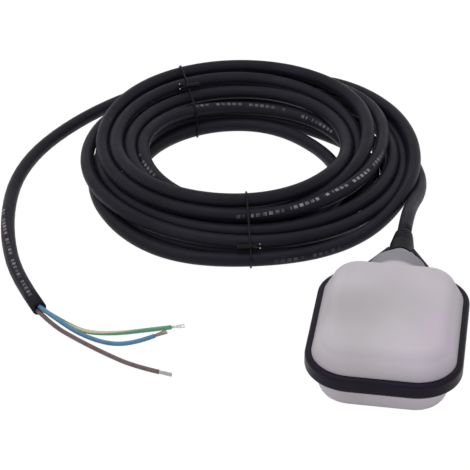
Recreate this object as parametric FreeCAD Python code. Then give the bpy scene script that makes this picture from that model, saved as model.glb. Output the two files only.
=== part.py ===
import FreeCAD, Part
import math
import os

# A cable float switch: a welded two-shell float with a rim band, a cable that comes out through a
# grooved boot, a tied coil of that cable and its three stripped cores. Sizes are in millimetres.
# +Z is up, +Y runs from the float towards its cable, and the origin lies on the floor under the
# middle of the float.

V = FreeCAD.Vector

# Float body
shell_width = 86.0
shell_length = 110.0
shell_corner = 24.5
shell_height = 44.0
shell_wall = 2.6
side_lean = 8.0
neck_side_lean = 13.0
crown_corner = 14.0
crown_radius = 8.5
base_lean = 6.5
base_corner = 18.0
base_radius = 6.0
neck_length = 26.0
neck_end_radius = 7.4
neck_angle = 30.0
neck_step = 2.6
neck_overlap = 10.0

# Rim band
rim_overhang = 4.0
rim_height = 10.0
rim_flange = 1.5
rim_gap = 0.3
rim_flange_step = 0.2
rim_round = 2.2
collar_length = 5.4

# Cable and boot
cable_diameter = 9.4
cable_clearance = 0.3
cable_floor_gap = 0.1
bend_share = 0.45
lead_straight_run = 23.0
boot_length = 25.7
boot_gap = 0.3
boot_base_radius = 8.2
boot_shoulder = 14.0
boot_shoulder_radius = 7.9
boot_tip_radius = 6.0
boot_sleeve_radius = 5.9
boot_sleeve_length = 9.0
boot_groove_width = 1.4
boot_groove_depth = 1.0
boot_groove_count = 4
boot_groove_pitch = 3.0
boot_tip_land = 3.2
boot_least_wall = 0.25
boot_lip = 0.4
sleeve_clearance = 0.3

# Seal and clamp on the cable inside the neck
seal_length = 6.0
seal_radius = 7.2
seal_fit = 0.2
clamp_length = 7.0
clamp_width = 30.0
clamp_thickness = 3.0
clamp_seat_drop = 1.0
clamp_screw_radius = 1.5
clamp_screw_inset = 3.4
clamp_screw_length = 10.0
clamp_post_radius = 3.2
clamp_behind_seal = 14.0
clamp_web_thickness = 2.4
screw_fit = 0.05
screw_tip_room = 1.0
screw_head_radius = 2.8
screw_head_height = 1.8

# Switch chamber
chamber_width = 46.0
chamber_length = 66.0
chamber_top_gap = 2.0
chamber_wall = 2.0
chamber_floor_gap = 2.4
chamber_corner = 5.0
chamber_shift = 1.0
chamber_foot_radius = 4.0
chamber_foot_side_inset = 7.0
chamber_foot_end_inset = 8.0
lid_thickness = 2.4
gasket_thickness = 0.8
gasket_width = 3.2
lid_screw_radius = 1.3
lid_screw_length = 11.2
lid_head_radius = 2.4
lid_head_height = 1.2
lid_boss_radius = 3.0
lid_boss_sink = 0.5

# Ball, race and lever switch
ball_clearance = 0.08
ball_travel = 16.0
ball_start = 14.0
ball_end_play = 0.3
race_wall = 2.2
race_foot_share = 0.8
race_slot_share = 0.6
race_slot_clearance = 0.8
bracket_thickness = 2.6
bracket_root = 2.0
lever_width = 4.0
lever_thickness = 0.8
lever_gap = 0.12
lever_middle = 22.0
lever_drop = 2.4
lever_past_ball = 1.0
lever_eye_radius = 1.3
pin_radius = 0.6
pin_inset = 4.0
pin_fit = 0.05
switch_width = 6.4
switch_length = 20.0
switch_height = 8.0
switch_cover_thickness = 1.4
switch_above_pin = 1.6
switch_top_gap = 1.2
switch_behind_pin = 1.8
ear_thickness = 1.1
ear_width = 3.6
ear_sink = 0.1
screw_front_inset = 4.0
screw_back_inset = 3.0
screw_edge_inset = 2.2
plunger_radius = 0.9
plunger_offset = 13.0
plunger_stroke = 1.0
plunger_side = 0.4
plunger_guide = 4.6
plunger_play = 0.5
plunger_gap = 0.15
terminal_thickness = 0.5
terminal_width = 3.2
terminal_length = 6.0
terminal_pitch = 2.7
terminal_side = 0.6
terminal_root = 2.0
switch_screw_radius = 1.0
switch_screw_bite = 1.8
switch_screw_head_radius = 1.9
switch_screw_head_height = 1.2
switch_screw_end_room = 0.2

# Ballast and cable anchor inside the float
ballast_width = 44.0
ballast_length = 12.0
ballast_height = 11.0
ballast_corner = 3.0
ballast_pad_radius = 3.4
ballast_pad_height = 2.0
ballast_end_gap = 1.5
ballast_screw_inset = 7.0
ballast_screw_radius = 1.5
ballast_screw_bite = 1.4
potting_width = 14.0
potting_length = 15.0
potting_clearance = 0.3
potting_wall = 1.5
potting_top_drop = 2.2
potting_step_in = 2.0
lead_radius = 1.1

# Cores at the stripped end
core_diameter = 2.8
conductor_diameter = 1.3
core_circle = 1.7

# Coil and its ties
coil_height = 34.0
coil_middle = (-118.4, 177.3)
lower_inner = 61.0
lower_outer = 118.0
lower_height = 19.0
upper_shift = (-4.5, 9.0)
upper_inner = 75.0
upper_outer = 104.0
upper_base = 11.0
turn_rounding = 4.6
tie_width = 2.2
tie_thickness = 1.2
tie_gap = 0.3
front_tie_angle = -82.0
back_tie_angle = 125.0

# Values that follow from the sizes above
parting = shell_height / 2
cable_radius = cable_diameter / 2
lying = cable_radius + cable_floor_gap
neck_slope = math.tan(math.radians(neck_angle))
front_end = shell_length / 2 + rim_overhang
neck_end = shell_length / 2 + neck_length
boot_start = neck_end + boot_gap
boot_end = boot_start + boot_length
body_y = -(boot_end - front_end) / 2
bore_radius = cable_radius + cable_clearance
chamber_base = shell_wall + chamber_floor_gap
lid_top = shell_height - shell_wall - chamber_top_gap - lid_head_height
chamber_height = lid_top - lid_thickness - gasket_thickness - chamber_base
ball_room = (chamber_height - chamber_wall - race_wall - ball_clearance - lever_gap - lever_drop
             - lever_thickness / 2 - switch_above_pin - switch_height - switch_top_gap)
ball_radius = ball_room / 2
ball_axis = chamber_floor_gap + shell_wall + chamber_wall + race_wall + ball_radius + ball_clearance
pivot_y = -chamber_length / 2 + chamber_shift + chamber_wall + pin_inset
lever_underside = ball_axis + ball_radius + lever_gap
upper_form = {"depth": shell_height - parting, "lean": side_lean, "neck_lean": neck_side_lean,
              "corner": crown_corner, "rounding": crown_radius}
lower_form = {"depth": parting, "lean": base_lean, "neck_lean": base_lean, "corner": base_corner,
              "rounding": base_radius}
core_radius = core_diameter / 2
seal_start = neck_end - boot_sleeve_length - seal_length

# Route of the cable from the boot to the coil, chosen by hand along the photograph
lead_route = [
    (0.0, boot_end + body_y, parting),
    (0.0, boot_end + body_y + lead_straight_run, parting - 0.8),
    (1.3, 133.0, 14.6),
    (4.4, 157.0, 8.4),
    (4.2, 180.0, 5.4),
    (-1.0, 201.0, lying),
]

# Route of the free end, from the coil to its stripped tip
tail_route = [
    (-127.0, 296.0, lying),
    (-161.0, 301.0, lying),
    (-197.0, 289.0, lying),
    (-228.0, 261.5, lying),
    (-254.0, 223.5, lying),
    (-271.5, 181.0, lying),
    (-277.5, 139.0, lying),
    (-272.5, 97.0, lying),
    (-260.5, 56.0, lying),
    (-243.0, 19.0, lying),
    (-221.0, -11.2, lying),
]

# Routes of the three cores past the end of the cable, before their start on its end face
brown_route = [(-209.0, -24.5, 2.2), (-191.0, -35.5, 1.6), (-171.0, -46.3, 1.6), (-151.0, -55.4, 1.6),
               (-134.6, -58.3, 1.6)]
blue_route = [(-206.0, -20.8, 3.6), (-189.0, -30.8, 1.6), (-169.0, -37.5, 1.6), (-153.8, -31.5, 2.6),
              (-144.3, -25.3, 4.2)]
earth_route = [(-204.5, -16.0, 1.9), (-188.0, -24.3, 1.6), (-169.0, -23.8, 1.6), (-151.0, -17.6, 1.6),
               (-135.9, -12.3, 1.6)]
brown_strip = 7.0
blue_strip = 5.0
earth_strip = 7.6


def save(name, shape):
    shape.exportStep("parts/" + name + ".step")


def box(x0, x1, y0, y1, z0, z1):
    """A box between two corners. y is measured from the middle of the float's body."""
    return Part.makeBox(x1 - x0, y1 - y0, z1 - z0, V(x0, y0 + body_y, z0))


def rod(radius, start, end):
    """A round bar between two points. y is measured from the middle of the float's body."""
    a = V(start[0], start[1] + body_y, start[2])
    b = V(end[0], end[1] + body_y, end[2])
    return Part.makeCylinder(radius, (b - a).Length, a, b - a)


def rounded_wire(width, length, corner, z, shift=0.0):
    """A rounded rectangle at height z, shifted along y from the middle of the float's body."""
    w = width / 2
    h = length / 2
    k = corner * (1 - math.sqrt(0.5))
    edges = []
    for sx, sy in ((1, -1), (1, 1), (-1, 1), (-1, -1)):
        side = V(sx * w, sy * (h - corner), z)
        end = V(sx * (w - corner), sy * h, z)
        middle = V(sx * (w - k), sy * (h - k), z)
        if sx * sy < 0:
            edges.append(Part.Arc(end, middle, side).toShape())
        else:
            edges.append(Part.Arc(side, middle, end).toShape())
    loop = []
    for i, edge in enumerate(edges):
        following = edges[(i + 1) % 4]
        loop.append(edge)
        loop.append(Part.makeLine(edge.lastVertex(True).Point, following.firstVertex(True).Point))
    wire = Part.Wire(Part.__sortEdges__(loop))
    wire.translate(V(0, body_y + shift, 0))
    return wire


def neck_plan(grow, reach):
    """Plan outline of the neck, from inside the body to reach past its end, grown sideways by grow."""
    start = shell_length / 2 - neck_overlap
    end = neck_end + reach
    base = neck_end_radius + (neck_end - start) * neck_slope + grow / math.cos(math.radians(neck_angle))
    tip = neck_end_radius + grow / math.cos(math.radians(neck_angle)) - reach * neck_slope
    points = [V(-base, start, 0), V(base, start, 0), V(tip, end, 0), V(-tip, end, 0), V(-base, start, 0)]
    face = Part.Face(Part.makePolygon(points))
    face.translate(V(0, body_y, 0))
    return face


def plan_prism(grow, reach, z0, z1):
    """The plan outline of the float, grown by grow and past the neck's end by reach, between two heights."""
    wire = rounded_wire(shell_width + 2 * grow, shell_length + 2 * grow, shell_corner + grow, z0)
    body = Part.Face(wire).extrude(V(0, 0, z1 - z0))
    neck = neck_plan(grow, reach)
    neck.translate(V(0, 0, z0))
    return body.fuse(neck.extrude(V(0, 0, z1 - z0))).removeSplitter()


def bowl(inset, form):
    """Half of the float's body as a closed form that rises from z = 0, inset by a wall."""
    skirt = rim_height / 2
    depth = form["depth"] - inset
    width = shell_width - 2 * inset
    length = shell_length - 2 * inset
    low = rounded_wire(width, length, shell_corner - inset, 0)
    middle = rounded_wire(width, length, shell_corner - inset, skirt)
    top = rounded_wire(width - 2 * form["lean"], length - form["lean"] - form["neck_lean"],
                       form["corner"] - inset, depth, (form["lean"] - form["neck_lean"]) / 2)
    straight = Part.Face(low).extrude(V(0, 0, skirt))
    leaning = Part.makeLoft([middle, top], True, True)
    crown = [e for e in leaning.Edges if abs(e.BoundBox.ZMin - depth) < 0.01]
    return straight.fuse(leaning.makeFillet(form["rounding"] - inset, crown))


def neck_cone(inset):
    """The neck as a full cone about the cable's axis, with its round root in the body, inset by a wall."""
    root = parting - neck_step
    start = neck_end - (root - neck_end_radius) / neck_slope
    inner = shell_length / 2 - neck_side_lean - crown_radius
    along = V(0, 1, 0)
    low = V(0, start + body_y, 0)
    cone = Part.makeCone(root - inset, neck_end_radius - inset, neck_end - start, low, along)
    barrel = Part.makeCylinder(root - inset, start - inner, V(0, inner + body_y, 0), along)
    neck = cone.fuse(barrel)
    if inset:
        neck = neck.common(box(-root, root, inner, seal_start, -root, root))
    return neck


def above_parting():
    """All the room above z = 0 in which a half shell lies."""
    return box(-shell_width, shell_width, -shell_length, 2 * shell_length, 0, shell_height)


def half_outside(form):
    """The outer form of a half shell as a solid, with its half of the neck."""
    outside = bowl(0, form).fuse(neck_cone(0).common(above_parting()))
    return outside.fuse(neck_plan(0, 0).extrude(V(0, 0, rim_height / 2)))


def half_shell(form):
    """One half shell, open at z = 0 and rising from it, with its half of the neck."""
    inside = bowl(shell_wall, form).fuse(neck_cone(shell_wall).common(above_parting()))
    pocket = rod(seal_radius + seal_fit / 2, (0, seal_start - 1, 0), (0, seal_start + seal_length, 0))
    sleeve = rod(boot_sleeve_radius + sleeve_clearance, (0, seal_start, 0), (0, neck_end + 1, 0))
    shell = half_outside(form).cut(inside).cut(pocket).cut(sleeve)
    trim = box(-shell_width, shell_width, -shell_length, 2 * shell_length, rim_flange / 2, shell_height)
    return shell.common(trim).removeSplitter()


def make_upper_shell():
    shell = half_shell(upper_form)
    shell.translate(V(0, 0, parting))
    save("upper_shell", shell)


def clamp_screw_places():
    y = seal_start - clamp_behind_seal
    x = clamp_width / 2 - clamp_screw_inset
    return [(-x, y), (x, y)]


def chamber_foot_places():
    x = chamber_width / 2 - chamber_foot_side_inset
    y = chamber_length / 2 - chamber_foot_end_inset
    return [(sx * x, sy * y + chamber_shift) for sx in (-1, 1) for sy in (-1, 1)]


def ballast_screw_places():
    y = -shell_length / 2 + shell_wall + base_lean + ballast_length / 2 + ballast_end_gap
    x = ballast_width / 2 - ballast_screw_inset
    return [(-x, y), (x, y)]


def make_lower_shell():
    shell = half_shell(lower_form)
    shell = shell.mirror(V(0, 0, 0), V(0, 0, 1))
    shell.translate(V(0, 0, parting))
    floor = shell_wall
    pad_top = floor + chamber_floor_gap
    root = floor / 2
    added = [rod(chamber_foot_radius, (x, y, root), (x, y, pad_top)) for x, y in chamber_foot_places()]
    post_top = parting - clamp_seat_drop
    web_top = parting - bore_radius
    drilled = []
    for x, y in clamp_screw_places():
        added.append(rod(clamp_post_radius, (x, y, root), (x, y, post_top)))
        depth = clamp_screw_length - clamp_thickness + screw_tip_room
        drilled.append(rod(clamp_screw_radius + screw_fit, (x, y, post_top - depth), (x, y, post_top + 1)))
    y = clamp_screw_places()[0][1]
    web = clamp_web_thickness / 2
    x = clamp_screw_places()[1][0]
    added.append(box(-x, x, y - web, y + web, root, web_top))
    for x, y in ballast_screw_places():
        pad = floor + ballast_pad_height
        added.append(rod(ballast_pad_radius, (x, y, root), (x, y, pad)))
        drilled.append(rod(ballast_screw_radius + screw_fit, (x, y, pad - ballast_screw_bite - screw_fit),
                           (x, y, pad + 1)))
    form = half_outside(lower_form).mirror(V(0, 0, 0), V(0, 0, 1))
    form.translate(V(0, 0, parting))
    for piece in added:
        shell = shell.fuse(piece.common(form))
    for piece in drilled:
        shell = shell.cut(piece)
    save("lower_shell", shell.removeSplitter())


def make_rim_band():
    z0 = parting - rim_height / 2
    z1 = parting + rim_height / 2
    band = plan_prism(rim_overhang, collar_length, z0, z1)
    around = plan_prism(rim_gap, rim_gap, z0 - 1, z1 + 1)
    grow = rim_gap + rim_flange_step
    flange = plan_prism(grow, grow, parting - rim_flange / 2, parting + rim_flange / 2)
    wire = rounded_wire(shell_width - 2 * shell_wall, shell_length - 2 * shell_wall,
                        shell_corner - shell_wall, 0)
    hollow = Part.Face(wire).extrude(V(0, 0, shell_height))
    cone = neck_cone(shell_wall)
    cone.translate(V(0, 0, parting))
    seal_room = rod(seal_radius + seal_fit / 2, (0, seal_start - 1, parting),
                    (0, seal_start + seal_length, parting))
    sleeve = rod(boot_sleeve_radius + sleeve_clearance, (0, seal_start, parting),
                 (0, boot_start + 1, parting))
    outer = band.cut(around)
    lips = [e for e in outer.Edges if abs(e.BoundBox.ZMax - e.BoundBox.ZMin) < 0.01
            and not around_edge(e)]
    outer = outer.makeFillet(rim_round, lips)
    ring = outer.fuse(flange.cut(hollow).cut(cone).cut(seal_room))
    boot_room = rod(boot_base_radius + sleeve_clearance, (0, neck_end, parting), (0, boot_end, parting))
    save("rim_band", ring.cut(sleeve).cut(boot_room).removeSplitter())


def around_edge(edge):
    """True for an edge on the rim's inner side."""
    point = edge.valueAt((edge.FirstParameter + edge.LastParameter) / 2)
    inner = plan_prism(2 * rim_gap, 2 * rim_gap, 0, shell_height)
    return inner.isInside(point, 0.01, True)


def make_boot():
    """The boot: a sleeve inside the neck, a smooth flared base, and a tapered end with round grooves."""
    sleeve_start = neck_end - boot_sleeve_length
    shoulder = boot_end - boot_shoulder
    profile = [(bore_radius, sleeve_start), (boot_sleeve_radius, sleeve_start),
               (boot_sleeve_radius, boot_start), (boot_base_radius, boot_start),
               (boot_shoulder_radius, shoulder)]

    def radius_at(y):
        share = (y - shoulder) / boot_shoulder
        return boot_shoulder_radius + (boot_tip_radius - boot_shoulder_radius) * share

    for i in reversed(range(boot_groove_count)):
        y = boot_end - boot_tip_land - i * boot_groove_pitch
        low = max(radius_at(y) - boot_groove_depth, bore_radius + boot_least_wall)
        profile.append((radius_at(y - boot_groove_width / 2), y - boot_groove_width / 2))
        profile.append((low, y - boot_groove_width / 4))
        profile.append((low, y + boot_groove_width / 4))
        profile.append((radius_at(y + boot_groove_width / 2), y + boot_groove_width / 2))
    profile.append((boot_tip_radius, boot_end - boot_lip))
    profile.append((boot_tip_radius - boot_lip, boot_end))
    profile.append((bore_radius, boot_end))
    points = [V(r, y + body_y, parting) for r, y in profile]
    face = Part.Face(Part.makePolygon(points + [points[0]]))
    save("cable_boot", face.revolve(V(0, body_y, parting), V(0, 1, 0), 360))


def make_seal_and_clamp():
    y0 = seal_start
    outer = rod(seal_radius - seal_fit, (0, y0, parting), (0, y0 + seal_length, parting))
    bore = rod(bore_radius, (0, y0 - 1, parting), (0, y0 + seal_length + 1, parting))
    save("cable_seal", outer.cut(bore))
    y = clamp_screw_places()[0][1]
    seat = parting - clamp_seat_drop
    top = parting + bore_radius + clamp_thickness + 1
    half = clamp_width / 2
    bar = box(-half, half, y - clamp_length / 2, y + clamp_length / 2, seat, seat + clamp_thickness)
    arch = rod(bore_radius + clamp_thickness, (0, y - clamp_length / 2, parting),
               (0, y + clamp_length / 2, parting))
    arch = arch.common(box(-half, half, y - clamp_length, y + clamp_length, seat, top))
    clamp = bar.fuse(arch)
    bore = rod(bore_radius, (0, y - clamp_length, parting), (0, y + clamp_length, parting))
    clamp = clamp.cut(bore)
    screws = []
    for x, sy in clamp_screw_places():
        clamp = clamp.cut(rod(clamp_screw_radius + screw_fit, (x, sy, seat - 1), (x, sy, top)))
        head = seat + clamp_thickness
        screws.append(screw((x, sy, head), clamp_screw_radius, clamp_screw_length, screw_head_radius,
                            screw_head_height))
    save("cable_clamp", clamp.removeSplitter())
    save("clamp_screws", Part.makeCompound(screws))


def screw(seat, radius, length, head_radius, head_height):
    """An upright screw whose head sits on this place."""
    x, y, z = seat
    shank = rod(radius, (x, y, z - length), seat)
    return shank.fuse(rod(head_radius, seat, (x, y, z + head_height))).removeSplitter()


def rounded_block(x, y0, y1, z0, z1, corner):
    block = box(-x, x, y0, y1, z0, z1)
    upright = [e for e in block.Edges if abs(e.BoundBox.ZLength - (z1 - z0)) < 0.01]
    return block.makeFillet(corner, upright)


def chamber_levels():
    return chamber_base, chamber_base + chamber_height


def lid_screw_places():
    x = chamber_width / 2 - chamber_wall - lid_boss_radius + lid_boss_sink
    y = chamber_length / 2 - chamber_wall - lid_boss_radius + lid_boss_sink
    return [(sx * x, sy * y + chamber_shift) for sx in (-1, 1) for sy in (-1, 1)]


def potting_levels():
    """Heights of the potted block that carries the cable's cores into the chamber."""
    return parting - cable_radius - potting_wall, chamber_levels()[1] - potting_top_drop


def make_chamber():
    base, rim = chamber_levels()
    x = chamber_width / 2
    y0 = -chamber_length / 2 + chamber_shift
    y1 = chamber_length / 2 + chamber_shift
    body = rounded_block(x, y0, y1, base, rim, chamber_corner)
    room = rounded_block(x - chamber_wall, y0 + chamber_wall, y1 - chamber_wall, base + chamber_wall,
                         rim + 1, chamber_corner - chamber_wall)
    body = body.cut(room)
    low, high = potting_levels()
    window = box(-potting_width / 2 - potting_clearance, potting_width / 2 + potting_clearance,
                 y1 - 2 * chamber_wall, y1 + 1, low - potting_clearance, high + potting_clearance)
    body = body.cut(window)
    head = rim + gasket_thickness + lid_thickness
    lid = rounded_block(x, y0, y1, rim + gasket_thickness, head, chamber_corner)
    gasket = rounded_block(x, y0, y1, rim, rim + gasket_thickness, chamber_corner)
    opening = rounded_block(x - gasket_width, y0 + gasket_width, y1 - gasket_width, rim - 1,
                            rim + gasket_thickness + 1, chamber_corner - chamber_wall)
    gasket = gasket.cut(opening)
    screws = []
    for sx, sy in lid_screw_places():
        boss = rod(lid_boss_radius, (sx, sy, base + chamber_wall), (sx, sy, rim))
        hole = rod(lid_screw_radius + screw_fit, (sx, sy, head - lid_screw_length - screw_tip_room),
                   (sx, sy, head + 1))
        body = body.fuse(boss).cut(hole)
        gasket = gasket.fuse(rod(lid_boss_radius, (sx, sy, rim), (sx, sy, rim + gasket_thickness))).cut(hole)
        lid = lid.cut(hole)
        screws.append(screw((sx, sy, head), lid_screw_radius, lid_screw_length, lid_head_radius,
                            lid_head_height))
    save("switch_chamber", body.removeSplitter())
    save("chamber_gasket", gasket.removeSplitter())
    save("chamber_lid", lid.removeSplitter())
    save("lid_screws", Part.makeCompound(screws))


def race_span():
    """Ends of the ball's race, from its start stop to its far stop."""
    start = pivot_y + ball_start - ball_radius - ball_end_play
    end = pivot_y + ball_start + ball_travel + ball_radius + ball_end_play
    return start, end


def switch_levels():
    z0 = pivot_height() + switch_above_pin
    return z0, z0 + switch_height


def switch_span():
    y0 = pivot_y - switch_behind_pin
    return y0, y0 + switch_length


def switch_screw_places():
    y0, y1 = switch_span()
    z0, z1 = switch_levels()
    return [(y0 + screw_front_inset, z1 - screw_edge_inset), (y1 - screw_back_inset, z0 + screw_edge_inset)]


def make_ball_and_race():
    start, end = race_span()
    inner = ball_radius + ball_clearance
    outer = inner + race_wall
    floor = shell_wall + chamber_floor_gap + chamber_wall
    tube = rod(outer, (0, start - race_wall, ball_axis), (0, end + race_wall, ball_axis))
    wide = outer * race_foot_share
    foot = box(-wide, wide, start - race_wall, end + race_wall, floor, ball_axis)
    y0, y1 = switch_span()
    z0, z1 = switch_levels()
    side = switch_width / 2
    plate = box(side, side + bracket_thickness, y0, y1, ball_axis + bracket_root, z1)
    race = tube.fuse(foot).fuse(plate)
    race = race.cut(rod(inner, (0, start, ball_axis), (0, end, ball_axis)))
    slot_half = lever_width / 2 + race_slot_clearance
    race = race.cut(box(-slot_half, slot_half, start - race_wall - 1, end + race_wall + 1,
                        ball_axis + inner * race_slot_share, z1 + 1))
    for sy, sz in switch_screw_places():
        end = side + switch_screw_bite + switch_screw_end_room
        race = race.cut(rod(switch_screw_radius + screw_fit, (0, sy, sz), (end, sy, sz)))
    save("ball_race", race.removeSplitter())
    y = pivot_y + ball_start
    save("steel_ball", Part.makeSphere(ball_radius, V(0, y + body_y, ball_axis)))


def lever_ratio():
    """Radians of lever swing per metre of ball travel."""
    return 1000 * lever_drop / (lever_middle ** 2 + lever_drop ** 2)


def lever_rest_angle():
    """Slope at rest, in radians: the line that touches the ball's clearance curve at lever_middle."""
    clear = math.atan(lever_drop / lever_middle)
    return clear + lever_ratio() / 1000 * (lever_middle - ball_start)


def pivot_height():
    return lever_underside + lever_drop + lever_thickness / 2


def make_lever_switch():
    z0, z1 = switch_levels()
    y0, y1 = switch_span()
    pin_z = pivot_height()
    half = switch_width / 2
    case = box(-half + switch_cover_thickness, half, y0, y1, z0, z1)
    ear_end = y0 + ear_width
    ear_low = pin_z - ear_width / 2
    case = case.fuse(box(half - ear_thickness, half, y0, ear_end, ear_low, z0 + ear_sink))
    cover = box(-half, -half + switch_cover_thickness, y0, y1, z0, z1)
    cover = cover.fuse(box(-half, -half + ear_thickness, y0, ear_end, ear_low, z0 + ear_sink))
    pin_hole = rod(pin_radius, (-half - 1, pivot_y, pin_z), (half + 1, pivot_y, pin_z))
    case = case.cut(pin_hole)
    cover = cover.cut(pin_hole)
    plunger_y = pivot_y + plunger_offset
    guide = rod(plunger_radius + pin_fit, (plunger_side, plunger_y, z0 - 1),
                (plunger_side, plunger_y, z0 + plunger_guide))
    case = case.cut(guide)
    screws = []
    for sy, sz in switch_screw_places():
        hole = rod(switch_screw_radius + screw_fit, (-half - 1, sy, sz), (half + 1, sy, sz))
        case = case.cut(hole)
        cover = cover.cut(hole)
        shank = rod(switch_screw_radius, (-half, sy, sz), (half + switch_screw_bite, sy, sz))
        head = rod(switch_screw_head_radius, (-half - switch_screw_head_height, sy, sz), (-half, sy, sz))
        screws.append(shank.fuse(head).removeSplitter())
    terminals = []
    for i in range(3):
        tz = z0 + switch_height / 2 + (i - 1) * terminal_pitch
        near = terminal_side - terminal_width / 2
        blade = box(near, near + terminal_width, y1 - terminal_root, y1 + terminal_length,
                    tz - terminal_thickness / 2, tz + terminal_thickness / 2)
        case = case.cut(blade)
        cover = cover.cut(blade)
        terminals.append(blade)
    angle = lever_rest_angle()
    reach = ball_start + ball_travel + lever_past_ball
    bar = box(-lever_width / 2, lever_width / 2, pivot_y, pivot_y + reach,
              pin_z - lever_thickness / 2, pin_z + lever_thickness / 2)
    eye = rod(lever_eye_radius, (-lever_width / 2, pivot_y, pin_z), (lever_width / 2, pivot_y, pin_z))
    lever = bar.fuse(eye)
    lever = lever.cut(rod(pin_radius + pin_fit, (-5, pivot_y, pin_z), (5, pivot_y, pin_z)))
    lever.rotate(V(0, pivot_y + body_y, pin_z), V(1, 0, 0), -math.degrees(angle))
    pin = rod(pin_radius, (-half, pivot_y, pin_z), (half, pivot_y, pin_z))
    lever_top = pin_z - plunger_offset * math.tan(angle) + lever_thickness / 2 / math.cos(angle)
    tip = lever_top + plunger_radius * math.tan(angle) + plunger_gap
    plunger = rod(plunger_radius, (plunger_side, plunger_y, tip),
                  (plunger_side, plunger_y, z0 + plunger_guide - plunger_stroke - plunger_play))
    save("microswitch_case", case.removeSplitter())
    save("microswitch_cover", cover.removeSplitter())
    save("switch_screws", Part.makeCompound(screws))
    save("switch_terminals", Part.makeCompound(terminals))
    save("switch_lever", lever.removeSplitter())
    save("lever_pin", pin)
    save("switch_plunger", plunger)
    print("lever: rest angle %.3f deg, ratio %.4f rad/m" % (math.degrees(angle), lever_ratio()))
    print("lever: pin at y %.3f z %.3f" % (pivot_y + body_y, pin_z))


def make_inner_leads():
    """The potted block at the chamber's wall and the three leads from it to the switch."""
    near = chamber_length / 2 + chamber_shift - chamber_wall - potting_step_in
    far = near + potting_length
    low, high = potting_levels()
    half = potting_width / 2
    save("potting_block", box(-half, half, near, far, low, high))
    z0 = switch_levels()[0]
    start = switch_span()[1] + terminal_length
    for i, name in enumerate(("blue", "brown", "earth")):
        z = z0 + switch_height / 2 + (i - 1) * terminal_pitch
        save(name + "_inner_lead", rod(lead_radius, (terminal_side, start, z), (terminal_side, near, z)))
    return far


def make_ballast():
    floor = shell_wall + ballast_pad_height
    y = ballast_screw_places()[0][1]
    half = ballast_length / 2
    top = floor + ballast_height
    block = rounded_block(ballast_width / 2, y - half, y + half, floor, top, ballast_corner)
    screws = []
    for x, sy in ballast_screw_places():
        block = block.cut(rod(ballast_screw_radius + screw_fit, (x, sy, floor - 1), (x, sy, top + 1)))
        screws.append(screw((x, sy, top), ballast_screw_radius, ballast_height + ballast_screw_bite,
                            screw_head_radius, screw_head_height))
    save("ballast", block)
    save("ballast_screws", Part.makeCompound(screws))


def route_path(route):
    """A wire of straight runs joined by tangent arcs, with its length and its least radius."""
    points = [V(*p) for p in route]
    edges = []
    radii = []
    here = points[0]
    for before, corner, after in zip(points, points[1:], points[2:]):
        back = before - corner
        ahead = after - corner
        turn = math.pi - back.getAngle(ahead)
        reach = bend_share * min(back.Length, ahead.Length)
        radii.append(reach / math.tan(turn / 2))
        back.normalize()
        ahead.normalize()
        into = corner + back * reach
        out = corner + ahead * reach
        inward = back + ahead
        inward.normalize()
        depth = radii[-1] / math.cos(turn / 2) - radii[-1]
        edges.append(Part.makeLine(here, into))
        edges.append(Part.Arc(into, corner + inward * depth, out).toShape())
        here = out
    edges.append(Part.makeLine(here, points[-1]))
    return Part.Wire(edges), radii


def tube(route, radius, name):
    """A round tube along a route, as one solid."""
    path, radii = route_path(route)
    start = V(*route[0])
    ahead = V(*route[1]) - start
    section = Part.Wire(Part.makeCircle(radius, start, ahead))
    solid = path.makePipeShell([section], True, False, 2)
    expected = math.pi * radius ** 2 * path.Length
    print("%s: length %.1f, least radius %.1f, volume %.4f of section x length, valid %s"
          % (name, path.Length, min(radii), solid.Volume / expected, solid.isValid()))
    return solid


def coil_ring(middle, inner, outer, z0, z1):
    """A ring with the rounded shoulders of the cable's turns."""
    wide = outer - inner
    face = Part.Face(Part.makePolygon([V(inner, 0, z0), V(outer, 0, z0), V(outer, 0, z1), V(inner, 0, z1),
                                       V(inner, 0, z0)]))
    block = face.extrude(V(0, 1, 0))
    corners = [e for e in block.Edges if abs(e.BoundBox.YLength - 1) < 0.001]
    rounded = block.makeFillet(min(turn_rounding, wide / 3), corners)
    side = [f for f in rounded.Faces if abs(f.CenterOfMass.y) < 0.001][0]
    ring = side.revolve(V(0, 0, 0), V(0, 0, 1), 360)
    ring.translate(V(middle[0], middle[1], 0))
    return ring


def hull(points):
    """The points on the outside of a flat set of points, in order round it."""
    ordered = sorted(set(points))
    chains = []
    for run in (ordered, ordered[::-1]):
        chain = []
        for p in run:
            while len(chain) > 1 and bends_in(chain[-2], chain[-1], p):
                chain.pop()
            chain.append(p)
        chains.append(chain[:-1])
    return chains[0] + chains[1]


def bends_in(a, b, c):
    return (b[0] - a[0]) * (c[1] - a[1]) - (b[1] - a[1]) * (c[0] - a[0]) <= 1e-6


def tie_outline(angle):
    """Corner points, as distance from the coil's middle and height, of a tie round the coil at this angle."""
    turn = math.radians(angle)
    shift = upper_shift[0] * math.cos(turn) + upper_shift[1] * math.sin(turn)
    low = tie_thickness + 2 * tie_gap
    cut = turn_rounding * (1 - math.tan(math.radians(22.5)))
    corners = [(lower_inner, low), (lower_outer, low)]
    rings = [(lower_inner, lower_outer, 0, lower_height),
             (upper_inner + shift, upper_outer + shift, upper_base, coil_height)]
    for inner, outer, z0, z1 in rings:
        for wall, sideways in ((inner, 1), (outer, -1)):
            corners.append((wall + sideways * cut, z1))
            corners.append((wall, z1 - cut))
            corners.append((wall, max(z0 + cut, low)))
    return hull(corners)


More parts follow.
